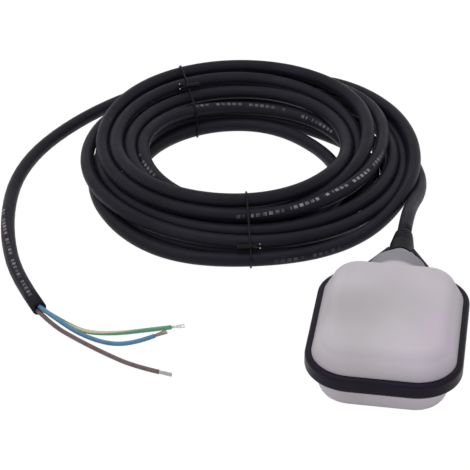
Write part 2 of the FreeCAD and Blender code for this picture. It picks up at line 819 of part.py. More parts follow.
def make_tie(name, angle):
    """A thin strap round the coil. Its shape is drawn at angle 0 and turned into place."""
    corners = [V(r, 0, z) for r, z in tie_outline(angle)]
    face = Part.Face(Part.makePolygon(corners + [corners[0]]))
    outer = face.makeOffset2D(tie_gap + tie_thickness)
    inner = face.makeOffset2D(tie_gap)
    strap = outer.cut(inner).extrude(V(0, tie_width, 0))
    strap.translate(V(0, -tie_width / 2, 0))
    strap.rotate(V(0, 0, 0), V(0, 0, 1), angle)
    strap.translate(V(coil_middle[0], coil_middle[1], 0))
    save(name, strap)


def tie_recess(angle):
    """Room under the coil for a tie."""
    depth = tie_thickness + 2 * tie_gap
    width = tie_width + 2 * tie_gap
    reach = lower_outer - lower_inner + 2 * cable_diameter
    room = Part.makeBox(reach, width, depth + 1, V(lower_inner - cable_diameter, -width / 2, -1))
    room.rotate(V(0, 0, 0), V(0, 0, 1), angle)
    room.translate(V(coil_middle[0], coil_middle[1], 0))
    return room


def make_cable(inner_end):
    """The cable's lead out of the float, its coil and its free end."""
    lead = tube(lead_route, cable_radius, "cable_lead")
    inside = rod(cable_radius, (0, inner_end, parting), (0, boot_end, parting))
    save("cable_lead", lead.fuse(inside).removeSplitter())
    tail = tube(tail_route, cable_radius, "cable_tail")
    save("cable_tail", tail)
    lower = coil_ring(coil_middle, lower_inner, lower_outer, 0, lower_height)
    shifted = (coil_middle[0] + upper_shift[0], coil_middle[1] + upper_shift[1])
    upper = coil_ring(shifted, upper_inner, upper_outer, upper_base, coil_height)
    coil = lower.fuse(upper)
    for route in (lead_route, tail_route):
        coil = coil.cut(tube(route, cable_radius + tie_gap, "room for it"))
    for angle in (front_tie_angle, back_tie_angle):
        coil = coil.cut(tie_recess(angle))
    print("coil: solids %d, volume %.0f" % (len(coil.Solids), coil.Volume))
    save("cable_coil", coil)
    make_tie("front_tie", front_tie_angle)
    make_tie("back_tie", back_tie_angle)
    return tail


def make_cores(tail):
    """The three stripped cores and their bare conductors."""
    end = V(*tail_route[-1])
    ahead = end - V(*tail_route[-2])
    ahead.normalize()
    side = V(ahead.y, -ahead.x, 0)
    up = V(0, 0, 1)
    low = core_circle / 2
    wide = core_circle * math.cos(math.radians(30))
    starts = {"brown": end + side * wide - up * low, "blue": end + up * core_circle,
              "earth": end - side * wide - up * low}
    routes = {"brown": (brown_route, brown_strip), "blue": (blue_route, blue_strip),
              "earth": (earth_route, earth_strip)}
    for name, start in starts.items():
        route, strip = routes[name]
        points = [(start.x, start.y, start.z)] + route
        core = tube(points, core_radius, name + "_core")
        save(name + "_core", core.cut(tail))
        last = V(*route[-1])
        along = last - V(*route[-2])
        save(name + "_conductor", Part.makeCylinder(conductor_diameter / 2, strip, last, along))


os.makedirs("parts", exist_ok=True)
make_upper_shell()
make_lower_shell()
make_rim_band()
make_boot()
make_seal_and_clamp()
make_chamber()
make_ball_and_race()
make_lever_switch()
make_ballast()
make_cores(make_cable(make_inner_leads()))
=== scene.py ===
import math

import bmesh
import bpy
import numpy as np
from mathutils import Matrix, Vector
from mathutils.geometry import convex_hull_2d


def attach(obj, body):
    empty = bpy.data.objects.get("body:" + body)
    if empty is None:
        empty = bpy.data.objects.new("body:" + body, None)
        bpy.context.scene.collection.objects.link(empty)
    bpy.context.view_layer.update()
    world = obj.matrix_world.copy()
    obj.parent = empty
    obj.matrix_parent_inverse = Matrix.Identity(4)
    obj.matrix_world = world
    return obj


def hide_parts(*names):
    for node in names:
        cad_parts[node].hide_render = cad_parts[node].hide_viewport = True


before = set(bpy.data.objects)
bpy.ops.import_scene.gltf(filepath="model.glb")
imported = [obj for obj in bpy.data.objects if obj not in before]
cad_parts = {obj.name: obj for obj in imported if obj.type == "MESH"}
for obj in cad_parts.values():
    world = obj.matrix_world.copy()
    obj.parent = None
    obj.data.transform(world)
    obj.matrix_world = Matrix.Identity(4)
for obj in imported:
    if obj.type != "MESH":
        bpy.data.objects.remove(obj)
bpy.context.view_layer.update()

# A cable float switch: a flat float of pale translucent plastic with a dark rim band, a grooved rubber boot,
# and a black rubber cable that lies in a tied coil and ends in three bare cores.
# All sizes are in metres, in the model's own frame.

# Camera: the side of its square picture, and its focal length, both in pixels
image_side = 470
focal_pixels = 1900.0
camera_place = Vector((0.0574, -0.9584, 0.6962))
camera_aim = Vector((-0.1129, 0.0930, 0.0045))
sensor_width = 36.0

# The white floor: how much of it glows by itself where it is seen directly, and how brightly; the rest takes
# shadows in its own tone
floor_side = 6.0
floor_white_share = 0.95
floor_glow = 1.04
floor_tone = (0.8, 0.8, 0.8, 1.0)

# Two soft lamps and the light of the room
lamp_aim = Vector((-0.1, 0.1, 0.0))
key_place = Vector((-0.35, 0.05, 1.3))
key_size = 1.0
key_power = 3.6
fill_place = Vector((-0.9, -0.9, 0.8))
fill_size = 0.8
fill_power = 1.6
room_light = 0.80

# Cable
cable_size = 0.0094
strand_height = cable_size / 2
cable_sides = 20
cable_line_steps = 4

# The lead from the boot down to the coil, and the free end beyond the coil
lead_route = [
    (0.0, 0.0830, 0.022),
    (0.0, 0.1060, 0.0212),
    (0.0013, 0.133, 0.0146),
    (0.0044, 0.157, 0.0084),
    (0.0042, 0.180, 0.0054),
    (-0.001, 0.201, 0.0048),
]
tail_route = [
    (-0.127, 0.2968, 0.0048),
    (-0.161, 0.3025, 0.0048),
    (-0.197, 0.2905, 0.0048),
    (-0.2275, 0.262, 0.0048),
    (-0.253, 0.2235, 0.0048),
    (-0.2705, 0.181, 0.0048),
    (-0.2758, 0.139, 0.0048),
    (-0.2706, 0.097, 0.0048),
    (-0.2592, 0.056, 0.0048),
    (-0.2427, 0.019, 0.0048),
    (-0.221, -0.0112, 0.0048),
]

# The coil: one row for each turn, which starts at the right, as the camera sees it, and runs by the back,
# left and front. Each entry is (quarters of the turn gone by, radius, height above a strand on the floor).
coil_middle = Vector((-0.1174, 0.1773))
coil_right = math.radians(9.2)
points_in_quarter = 9
coil_turns = [
    [(0.15, 0.1152, 0.0), (1, 0.104, 0.0), (2, 0.104, 0.0), (3, 0.104, 0.0)],
    [(0, 0.0975, 0.0), (0.4, 0.0985, 0.0), (1, 0.0935, 0.0), (2, 0.095, 0.0), (3, 0.0945, 0.0),
     (3.4, 0.083, 0.0065)],
    [(0, 0.06, 0.0), (0.35, 0.0553, 0.0), (1, 0.064, 0.0), (1.5, 0.072, 0.0),
     (2, 0.079, 0.0), (3, 0.0845, 0.0), (3.7, 0.0835, 0.0)],
    [(0, 0.0885, 0.0), (0.5, 0.0736, 0.0), (1, 0.0735, 0.0), (2, 0.0765, 0.008), (3, 0.076, 0.004)],
    [(0, 0.0765, 0.0065), (1, 0.0718, 0.0089), (2, 0.075, 0.017),
     (2.5, 0.0728, 0.0125), (3, 0.0675, 0.008)],
    [(0, 0.079, 0.013), (1, 0.096, 0.0213), (2, 0.092, 0.0215), (3, 0.0795, 0.0225), (3.6, 0.0717, 0.0205)],
    [(0, 0.0702, 0.018), (1, 0.0845, 0.0156), (2, 0.0823, 0.019), (3, 0.077, 0.013)],
    [(0, 0.0833, 0.023), (0.45, 0.0968, 0.0255), (1, 0.109, 0.0245),
     (1.5, 0.1085, 0.0235), (2, 0.1025, 0.018), (3, 0.086, 0.0165)],
    [(0, 0.0917, 0.017), (0.4, 0.107, 0.015), (1, 0.112, 0.0145), (2, 0.104, 0.01), (3, 0.0942, 0.009)],
    [(0, 0.103, 0.012), (0.5, 0.11, 0.01), (1, 0.104, 0.009), (1.6, 0.1135, 0.01),
     (2, 0.1112, 0.009), (2.4, 0.107, 0.009), (3, 0.105, 0.008)],
    [(0, 0.1115, 0.005), (0.5, 0.117, 0.005), (1, 0.112, 0.005), (2, 0.1075, 0.0), (2.35, 0.1135, 0.0),
     (2.7, 0.12, 0.0), (3, 0.115, 0.0), (3.4, 0.1146, 0.001), (3.75, 0.1115, 0.006)],
    [(0, 0.1142, 0.0105), (0.5, 0.1218, 0.013), (0.7, 0.125, 0.0105), (0.9, 0.122, 0.003)],
]

# How the strands settle: rounds of (steps, pull back to the stations), and the share of each push and bend
coil_settling = [(600, 0.01), (400, 0.002)]
settling_share = 0.25

# The open mouth at the stripped end of the sheath: the thickness of its wall, and how deep it is
sheath_wall = 0.0014
sheath_mouth = 0.0018

# The cores that leave it: their size, how far each starts from the sheath's middle line, and their routes
core_size = 0.0028
core_circle = 0.0017
core_sides = 20
core_line_steps = 10
core_routes = {
    "brown": [
        (-0.209, -0.0245, 0.0022),
        (-0.191, -0.0355, 0.0016),
        (-0.171, -0.0469, 0.0016),
        (-0.151, -0.0566, 0.0016),
        (-0.1346, -0.0599, 0.0016),
    ],
    "blue": [
        (-0.206, -0.0208, 0.0036),
        (-0.189, -0.0308, 0.0016),
        (-0.169, -0.0375, 0.0016),
        (-0.1534, -0.0334, 0.0025),
        (-0.1438, -0.0272, 0.0040),
    ],
    "earth": [
        (-0.2047, -0.0184, 0.0019),
        (-0.188, -0.0275, 0.0016),
        (-0.169, -0.0256, 0.0016),
        (-0.151, -0.0190, 0.0016),
        (-0.1359, -0.0134, 0.0016),
    ],
}

# The bare conductor of each core: length, strands, turns, radius of a strand, radius of their circle at the
# start and at the end, finish; it starts a little inside its core
conductor_seat = 0.0004
strand_steps = 24
strand_sides = 8
bare_ends = {
    "brown": (0.0085, 7, 0.8, 0.00030, 0.00085, 0.00095, "tinned"),
    "blue": (0.0085, 7, 1.3, 0.00022, 0.00070, 0.00135, "copper"),
    "earth": (0.0088, 4, 0.5, 0.00022, 0.00040, 0.00120, "tinned"),
}

# Rows of worn plain dashes on the sheath: where each starts and ends along the cable, how far round it the
# row lies at its start and at its end, in whole turns, and how strong it still is
dash_rows = [
    (2.338, 2.372, -0.125, -0.125, 0.5),
    (2.385, 2.455, -0.07, -0.01, 0.4),
    (2.540, 2.572, 0.16, 0.125, 0.5),
    (4.254, 4.322, 0.23, 0.04, 1.0),
    (4.323, 4.392, 0.04, 0.17, 0.9),
    (6.262, 6.312, 0.24, 0.20, 0.2),
    (6.903, 6.950, 0.12, 0.03, 0.8),
    (6.952, 7.012, 0.02, 0.06, 0.6),
]

# The space of the dashes and of their groups, the shares of that space where each is gone and where it is
# still full, half a row's height as a share of a turn, and how far its ends fade
dash_pitch = 0.0042
dash_edge = (0.66, 0.60)
group_pitch = 0.026
group_edge = (0.84, 0.82)
dash_height = 0.045
row_fade = 0.002

# The green core's stripe: its turns in a metre, and how far round it starts, in whole turns
stripe_drift = 7.5
stripe_start = 0.13

# The shell turns grey over this stretch of its neck, partly in its own tone and partly as painted shade of a
# slope that faces away. The foot of its upper wall is darker, as painted shade beside the dark rim band: the
# height where it is darkest, where that starts above, and where it ends below
neck_grey_and_shade = (0.0225, 0.0255)
wall_foot_shade = (0.026, 0.035, 0.020)

# Ties: thin wire in a plain coat, pulled round all strands, with its doubled ends twisted together.
# Each has a point on its upright plane, the plane's way out from the coil, and its knot as (way out, height).
tie_wire = 0.0013
tie_sides = 12
tie_places = {
    "front_tie": (Vector((-0.1018, 0.0808)), Vector((0.228, -0.974)), (0.015, 0.016)),
    "back_tie": (Vector((-0.1705, 0.2425)), Vector((-0.42, 0.9075)), (0.004, 0.031)),
}

# A tie's loop: how far from that point its strands may lie, the corners that go round each strand, the points
# that go round all of them, and the rounds that ease these points, with their pull inward in wire sizes
tie_reach = 0.045
tie_corners = 24
tie_points = 240
tie_easing = 30
tie_pull = 0.01

# A tie's knot: how far it sits off the loop in wire sizes, its twist, and its two tips with their bare ends
tie_seat = 0.8
tie_twist = 0.0095
tie_twist_shift = 0.001
tie_twist_strands = 4
tie_twist_turns = 2.2
tie_twist_circle = tie_wire * 0.75
tie_tip = 0.0060
tie_tip_sides = 10
tie_tip_steps = 8
tie_tip_lifts = (0.16, -0.14)
tie_tip_bend = 0.004
tie_core = 0.0009
tie_core_length = 0.0012
tie_core_sides = 8

# Finishes of two close tones, by the name that the pieces use: material, dark tone and light tone as a
# picture shows them, patches in a metre, roughness, depth of the grain, and other values of the shader
plain_finishes = {
    "rim": ("dark_rim", (21, 17, 29), (28, 23, 38), 60.0, 0.40, 0.00004, {"Specular_IOR_Level": 0.12}),
    "boot": ("boot_rubber", (12, 10, 16), (19, 17, 25), 90.0, 0.46, 0.00006, {"Specular_IOR_Level": 0.13}),
    "tie": ("tie_coat", (10, 8, 14), (17, 15, 22), 200.0, 0.36, 0.00002, {"Specular_IOR_Level": 0.18}),
    "brown": ("brown_sheath", (92, 72, 76), (112, 90, 93), 160.0, 0.42, 0.00003, {}),
    "blue": ("blue_sheath", (66, 122, 158), (84, 140, 175), 160.0, 0.42, 0.00003, {}),
    "green": ("green_sheath", (80, 150, 112), (96, 164, 128), 160.0, 0.42, 0.00003, {}),
    "tinned": ("tinned_wire", (176, 170, 168), (206, 203, 200), 900.0, 0.30, 0.00001, {"Metallic": 1.0}),
    "copper": ("copper_wire", (120, 100, 94), (168, 146, 136), 900.0, 0.34, 0.00001, {"Metallic": 1.0}),
    "steel": ("bright_steel", (160, 160, 163), (186, 186, 188), 140.0, 0.28, 0.00001, {"Metallic": 1.0}),
    "natural": ("natural_plastic", (205, 202, 192), (219, 216, 207), 70.0, 0.45, 0.00004, {}),
    "dark": ("dark_moulding", (38, 40, 44), (48, 50, 55), 80.0, 0.5, 0.00004, {}),
    "brass": ("terminal_brass", (176, 146, 84), (198, 168, 104), 200.0, 0.3, 0.00001, {"Metallic": 1.0}),
    "iron": ("cast_iron", (68, 66, 65), (86, 84, 82), 260.0, 0.62, 0.00012, {"Metallic": 1.0}),
}

# The nodes of each finish
node_finishes = {
    "shell": ("upper_shell", "lower_shell"),
    "rim": ("rim_band",),
    "boot": ("cable_boot", "cable_seal", "chamber_gasket"),
    "steel": ("cable_clamp", "clamp_screws", "lid_screws", "steel_ball", "switch_lever", "lever_pin",
              "switch_screws", "ballast_screws"),
    "natural": ("switch_chamber", "chamber_lid", "ball_race"),
    "dark": ("microswitch_case", "microswitch_cover", "switch_plunger", "potting_block"),
    "brass": ("switch_terminals",),
    "iron": ("ballast",),
    "brown": ("brown_inner_lead", "brown_core"),
    "blue": ("blue_inner_lead", "blue_core"),
    "green": ("earth_inner_lead", "earth_core"),
    "copper": ("blue_conductor",),
    "tinned": ("brown_conductor", "earth_conductor"),
    "sheath": ("cable_lead", "cable_coil", "cable_tail"),
    "tie": ("front_tie", "back_tie"),
}


def srgb(red, green, blue):
    """A colour as a picture shows it, 0 to 255, as the linear values that a shader takes."""
    parts = [value / 255 for value in (red, green, blue)]
    linear = [p / 12.92 if p <= 0.04045 else ((p + 0.055) / 1.055) ** 2.4 for p in parts]
    return (*linear, 1.0)


# Soft patches in the shell's plastic: middle, reach, strength and tone
shell_patches = [
    ((-0.0215, -0.0310, 0.044), 0.026, 0.40, srgb(172, 167, 170)),
    ((0.0385, -0.0450, 0.043), 0.026, 0.55, srgb(210, 189, 213)),
]


# Nodes

def feed(tree, socket, value):
    """Link a socket to another one, or set its own value."""
    if isinstance(value, bpy.types.NodeSocket):
        tree.links.new(value, socket)
    else:
        socket.default_value = value


def add_node(tree, kind, feeds, **settings):
    """A new node with its settings made and its sockets fed."""
    node = tree.nodes.new(kind)
    for setting, value in settings.items():
        setattr(node, setting, value)
    for socket, value in feeds.items():
        feed(tree, node.inputs[socket], value)
    return node


def empty_tree(owner):
    """The node tree of a material or a world, without its first nodes."""
    owner.use_nodes = True
    owner.node_tree.nodes.clear()
    return owner.node_tree


def seen_directly(tree):
    """1 for camera, glossy and transmission rays, which see the white studio, and 0 for all others."""
    path = add_node(tree, "ShaderNodeLightPath", {})
    seen = path.outputs["Is Camera Ray"]
    for ray in ("Is Glossy Ray", "Is Transmission Ray"):
        most = add_node(tree, "ShaderNodeMath", {0: seen, 1: path.outputs[ray]}, operation="MAXIMUM")
        seen = most.outputs[0]
    return seen


# Camera, light and floor

def look_at(thing, target):
    """Turn a camera or a lamp towards a point."""
    thing.rotation_euler = (target - thing.location).to_track_quat("-Z", "Y").to_euler()


def set_camera():
    """The camera of the picture, by its place, its aim and its focal length."""
    data = bpy.data.cameras.new("camera")
    data.sensor_width = sensor_width
    data.lens = focal_pixels / image_side * sensor_width
    data.clip_end = 20.0
    camera = bpy.data.objects.new("camera", data)
    camera.location = camera_place
    look_at(camera, camera_aim)
    bpy.context.collection.objects.link(camera)
    bpy.context.scene.camera = camera


def soft_lamp(name, place, size, power):
    """A round soft lamp that shines on the middle of the object."""
    data = bpy.data.lights.new(name, "AREA")
    data.shape = "DISK"
    data.size = size
    data.energy = power
    lamp = bpy.data.objects.new(name, data)
    lamp.location = place
    look_at(lamp, lamp_aim)
    bpy.context.collection.objects.link(lamp)


def set_room():
    """A room that is plain white where it is seen, and lights the object more softly."""
    world = bpy.data.worlds.new("room")
    tree = empty_tree(world)
    light = add_node(tree, "ShaderNodeBackground", {"Strength": room_light}).outputs[0]
    white = add_node(tree, "ShaderNodeBackground", {"Strength": 1.0}).outputs[0]
    mix = add_node(tree, "ShaderNodeMixShader", {"Fac": seen_directly(tree), 1: light, 2: white})
    add_node(tree, "ShaderNodeOutputWorld", {"Surface": mix.outputs[0]})
    bpy.context.scene.world = world


def set_floor():
    """White paper under the object, nearly shadeless where it is seen."""
    half = floor_side / 2
    mesh = bpy.data.meshes.new("floor")
    corners = [(-half, -half, 0), (half, -half, 0), (half, half, 0), (-half, half, 0)]
    mesh.from_pydata(corners, [], [(0, 1, 2, 3)])
    floor = bpy.data.objects.new("floor", mesh)
    bpy.context.collection.objects.link(floor)
    paper = bpy.data.materials.new("white_paper")
    tree = empty_tree(paper)
    matt = add_node(tree, "ShaderNodeBsdfDiffuse", {"Color": floor_tone}).outputs[0]
    glow = add_node(tree, "ShaderNodeEmission", {"Strength": floor_glow}).outputs[0]
    share = add_node(tree, "ShaderNodeMath", {0: seen_directly(tree), 1: floor_white_share},
                     operation="MULTIPLY").outputs[0]
    mix = add_node(tree, "ShaderNodeMixShader", {"Fac": share, 1: matt, 2: glow})
    add_node(tree, "ShaderNodeOutputMaterial", {"Surface": mix.outputs[0]})
    mesh.materials.append(paper)


# Materials

class Finish:
    """A procedural material in the making, with short calls for the nodes that it uses."""

    def __init__(self, name, **sockets):
        self.material = bpy.data.materials.new(name)
        self.material.use_nodes = True
        self.tree = self.material.node_tree
        self.shader = self.tree.nodes["Principled BSDF"]
        for socket, value in sockets.items():
            self.shader.inputs[socket.replace("_", " ")].default_value = value

    def add(self, kind, feeds, **settings):
        return add_node(self.tree, "ShaderNode" + kind, feeds, **settings)

    def place(self, stretch=(1.0, 1.0, 1.0)):
        """Where a point is on the object, in metres."""
        spot = self.add("TexCoord", {}).outputs["Object"]
        return self.add("Mapping", {"Vector": spot, "Scale": stretch}).outputs[0]

    def along(self, stretch):
        """Where a point is on a cord: how far round it, and how many metres along it."""
        spot = self.add("UVMap", {}, uv_map="along").outputs[0]
        return self.add("Mapping", {"Vector": spot, "Scale": stretch}).outputs[0]

    def noise(self, where, scale, detail=3.0, roughness=0.55):
        feeds = {"Vector": where, "Scale": scale, "Detail": detail, "Roughness": roughness}
        return self.add("TexNoise", feeds).outputs["Fac"]

    def within(self, value, low, high, start=0.0, end=1.0):
        """A value's share of the way from low to high, kept between start and end."""
        feeds = {"Value": value, "From Min": low, "From Max": high, "To Min": start, "To Max": end}
        return self.add("MapRange", feeds).outputs[0]

    def maths(self, operation, first, second=0.0):
        return self.add("Math", {0: first, 1: second}, operation=operation).outputs[0]

    def times(self, first, second):
        return self.maths("MULTIPLY", first, second)

    def past_whole(self, value):
        """What a value has past its last whole number."""
        return self.maths("FRACT", value)

    def blend(self, share, first, second):
        """A share of the way from the first colour to the second, by the colour sockets of the Mix node."""
        return self.add("Mix", {"Factor": share, 6: first, 7: second}, data_type="RGBA").outputs[2]

    def bump(self, height, depth, before=None):
        feeds = {"Height": height, "Distance": depth, "Strength": 1.0}
        if before:
            feeds["Normal"] = before
        return self.add("Bump", feeds).outputs[0]

    def finish(self, colour, roughness, normal):
        """The material with these three fed to its shader."""
        for socket, value in (("Base Color", colour), ("Roughness", roughness), ("Normal", normal)):
            feed(self.tree, self.shader.inputs[socket], value)
        return self.material


def mottled(name, dark, light, scale, rough, depth, **sockets):
    """A material of two close tones in soft patches, with a grain and uneven gloss."""
    made = Finish(name, **sockets)
    where = made.place()
    patches = made.noise(where, scale, 4.0)
    grain = made.noise(where, scale * 22, 2.0)
    return made.finish(made.blend(made.within(patches, 0.35, 0.65), dark, light),
                       made.within(patches, 0.3, 0.7, rough - 0.06, rough + 0.06),
                       made.bump(grain, depth))


def sheath_rubber():
    """Matt black cable rubber with a soft sheen, faint drawing lines, scuffs and rows of worn dashes."""
    made = Finish("sheath_rubber", Sheen_Weight=0.03, Sheen_Roughness=0.4, Sheen_Tint=(0.6, 0.6, 0.9, 1),
                  Specular_IOR_Level=0.15)
    where = made.place()
    tone = made.blend(made.within(made.noise(where, 28.0, 4.0), 0.3, 0.7), srgb(20, 18, 26), srgb(28, 25, 37))
    streaks = made.within(made.noise(made.along((7.0, 62.0, 1.0)), 1.0, 5.0, 0.7), 0.62, 0.78)
    scuffs = made.times(streaks, made.within(made.noise(where, 17.0, 2.0), 0.5, 0.66))
    tone = made.blend(made.times(scuffs, 0.35), tone, srgb(104, 101, 112))
    spot = made.add("SeparateXYZ", {0: made.along((1.0, 1.0, 1.0))})
    around, metres = spot.outputs[0], spot.outputs[1]
    dash = made.within(made.past_whole(made.times(metres, 1 / dash_pitch)), *dash_edge)
    group = made.within(made.past_whole(made.times(metres, 1 / group_pitch)), *group_edge)
    worn = made.within(made.noise(made.along((3.0, 130.0, 1.0)), 1.0, 2.0, 0.5), 0.34, 0.60, 0.15, 0.85)
    rows = 0.0
    for start, end, first, last, strength in dash_rows:
        turned = made.within(metres, start, end, first, last)
        off = made.maths("SUBTRACT", made.past_whole(made.maths("SUBTRACT", around, turned)), 0.5)
        line = made.within(made.maths("ABSOLUTE", off), 0.5 - dash_height, 0.5 - dash_height * 0.7)
        ends = made.times(made.within(metres, start, start + row_fade),
                          made.within(metres, end, end - row_fade))
        rows = made.maths("MAXIMUM", rows, made.times(made.times(line, ends), strength))
    marks = made.times(made.times(rows, dash), made.times(group, worn))
    tone = made.blend(marks, tone, srgb(168, 164, 170))
    rough = made.within(made.noise(where, 90.0, 3.0), 0.3, 0.7, 0.42, 0.56)
    drawn = made.noise(made.along((26.0, 9.0, 1.0)), 1.0, 2.0)
    grain = made.noise(where, 2600.0, 2.0)
    return made.finish(tone, rough, made.bump(drawn, 0.00012, made.bump(grain, 0.00004)))


def milky_shell():
    """Translucent natural plastic: pale grey with soft clouds and a faint violet tint, painted shade at the
    foot of its upper wall, and a greyer neck that is partly its own tone and partly painted shade.
    """
    made = Finish("milky_shell", Subsurface_Weight=0.3, Subsurface_Scale=0.006,
                  Subsurface_Radius=(1.0, 0.9, 0.95), Specular_IOR_Level=0.22)
    where = made.place()
    clouds = made.noise(where, 16.0, 2.0, 0.45)
    tone = made.blend(made.within(clouds, 0.35, 0.65), srgb(192, 186, 191), srgb(206, 201, 206))
    tint = made.within(made.noise(made.place((1.0, 0.7, 1.0)), 11.0, 1.0), 0.48, 0.7, 0.0, 0.7)
    tone = made.blend(tint, tone, srgb(213, 201, 216))
    spot = made.add("SeparateXYZ", {0: where})
    for middle, reach, share, patch in shell_patches:
        away = made.add("VectorMath", {0: where, 1: middle}, operation="DISTANCE").outputs["Value"]
        tone = made.blend(made.within(away, reach, reach * 0.2, 0.0, share), tone, patch)
    backward, height = spot.outputs[1], spot.outputs[2]
    # Painted shade: the foot of the upper wall darkens towards the dark rim band
    darkest, above, below = wall_foot_shade
    shaded_foot = made.times(made.within(height, above, darkest), made.within(height, below, darkest))
    tone = made.blend(shaded_foot, tone, srgb(184, 176, 185))
    # The neck turns greyer: partly its own tone, partly painted shade of its slope that faces away
    tone = made.blend(made.within(backward, *neck_grey_and_shade), tone, srgb(144, 141, 149))
    rough = made.within(made.noise(where, 60.0, 4.0), 0.3, 0.7, 0.46, 0.60)
    grain = made.noise(where, 700.0, 3.0)
    return made.finish(tone, rough, made.bump(grain, 0.00005))


def striped_sheath():
    """Green insulation with a yellow stripe that winds slowly round it."""
    made = Finish("green_yellow_sheath", Specular_IOR_Level=0.5)
    spot = made.add("SeparateXYZ", {0: made.along((1.0, 1.0, 1.0))})
    turned = made.past_whole(made.maths("ADD", made.maths("ADD", spot.outputs[0], stripe_start),
                                        made.times(spot.outputs[1], stripe_drift)))
    stripe = made.within(made.maths("ABSOLUTE", made.maths("SUBTRACT", turned, 0.5)), 0.16, 0.14)
    tone = made.blend(stripe, srgb(88, 158, 122), srgb(214, 203, 160))
    soft = made.noise(made.place(), 300.0, 3.0)
    tone = made.blend(made.within(soft, 0.3, 0.7, 0.0, 0.2), tone, srgb(140, 160, 140))
    return made.finish(tone, made.within(soft, 0.3, 0.7, 0.34, 0.46), made.bump(soft, 0.00003))


# Cords

def spline_line(name, points, resolution):
    """The points of the smooth line that a cord with this route follows."""
    curve = bpy.data.curves.new(name, "CURVE")
    curve.dimensions = "3D"
    spline = curve.splines.new("NURBS")
    spline.points.add(len(points) - 1)
    for control, place in zip(spline.points, points):
        control.co = (*place, 1.0)
    spline.order_u = 3
    spline.use_endpoint_u = True
    spline.resolution_u = resolution
    holder = bpy.data.objects.new(name, curve)
    bpy.context.collection.objects.link(holder)
    line = bpy.data.meshes.new_from_object(holder.evaluated_get(bpy.context.evaluated_depsgraph_get()))
    path = np.array([vertex.co[:] for vertex in line.vertices])
    bpy.data.objects.remove(holder)
    bpy.data.meshes.remove(line)
    bpy.data.curves.remove(curve)
    return path


def directions(path):
    """The way that a line runs at each of its points."""
    ahead = np.gradient(path, axis=0)
    return ahead / np.linalg.norm(ahead, axis=1)[:, None]


def carried_normals(path, first):
    """One normal for each point, carried along the line without twist."""
    ahead = directions(path)
    normals = np.zeros_like(path)
    current = np.array(first, float)
    for index, way in enumerate(ahead):
        current = current - way * current.dot(way)
        current = current / np.linalg.norm(current)
        normals[index] = current
    return normals


def tube(name, path, radii, sides, closed=False, mouth=None):
    """A smooth tube along a line, with its distance along the line and round it kept as a map.

    A mouth, as (wall, depth), leaves its far end open like a cut sheath.
    """
    count = len(path)
    radii = np.broadcast_to(radii, (count,))
    ahead = directions(path)
    normals = carried_normals(path, (0.0, 0.0, 1.0) if abs(ahead[0][2]) < 0.9 else (1.0, 0.0, 0.0))
    across = np.cross(ahead, normals)
    turn = np.arange(sides) * 2 * math.pi / sides
    rings = (path[:, None, :]
             + normals[:, None, :] * (np.cos(turn)[None, :, None] * radii[:, None, None])
             + across[:, None, :] * (np.sin(turn)[None, :, None] * radii[:, None, None]))
    run = np.concatenate([[0.0], np.cumsum(np.linalg.norm(np.diff(path, axis=0), axis=1))])
    mesh_maker = bmesh.new()
    rows = [[mesh_maker.verts.new(corner) for corner in ring] for ring in rings]
    along = mesh_maker.loops.layers.uv.new("along")
    steps = count if closed else count - 1
    for step in range(steps):
        here, there = rows[step], rows[(step + 1) % count]
        for side in range(sides):
            following = (side + 1) % sides
            face = mesh_maker.faces.new((here[side], here[following], there[following], there[side]))
            face.smooth = True
            marks = ((side, step), (side + 1, step), (side + 1, step + 1), (side, step + 1))
            for loop, (part, place) in zip(face.loops, marks):
                loop[along].uv = (part / sides, run[min(place, count - 1)])
    if not closed:
        mesh_maker.faces.new(list(reversed(rows[0])))
        last = rows[-1]
        if mouth:
            wall, depth = mouth
            share = 1 - wall / radii[-1]
            for back in (0.0, depth):
                inner = [mesh_maker.verts.new(path[-1] - ahead[-1] * back + (corner - path[-1]) * share)
                         for corner in rings[-1]]
                for side in range(sides):
                    following = (side + 1) % sides
                    mesh_maker.faces.new((last[side], last[following], inner[following], inner[side]))
                last = inner
        mesh_maker.faces.new(last)
    mesh = bpy.data.meshes.new(name)
    mesh_maker.to_mesh(mesh)
    mesh_maker.free()
    piece = bpy.data.objects.new(name, mesh)
    bpy.context.collection.objects.link(piece)
    return piece


# The coil's turns

def coil_targets():
    """The chosen stations of all turns, and smooth points between them, ten degrees apart."""
    stations = [(4 * turn + gone, radius, height)
                for turn, row in enumerate(coil_turns) for gone, radius, height in row]
    quarters, radii, heights = np.array(stations).T
    count = int(round((quarters[-1] - quarters[0]) * points_in_quarter)) + 1
    asked = np.linspace(quarters[0], quarters[-1], count)
    near = np.clip(np.searchsorted(quarters, asked, side="right") - 1, 0, len(quarters) - 2)
    width = quarters[near + 1] - quarters[near]
    share = (asked - quarters[near]) / width
    smooth = []
    for values in (radii, heights):
        slope = np.gradient(values, quarters)
        smooth.append((2 * share**3 - 3 * share**2 + 1) * values[near]
                      + (share**3 - 2 * share**2 + share) * slope[near] * width
                      + (3 * share**2 - 2 * share**3) * values[near + 1]
                      + (share**3 - share**2) * slope[near + 1] * width)
    angle = coil_right + asked * math.pi / 2
    return np.stack([coil_middle.x + smooth[0] * np.cos(angle),
                     coil_middle.y + smooth[0] * np.sin(angle),
                     strand_height + np.maximum(smooth[1], 0.0)], axis=1)


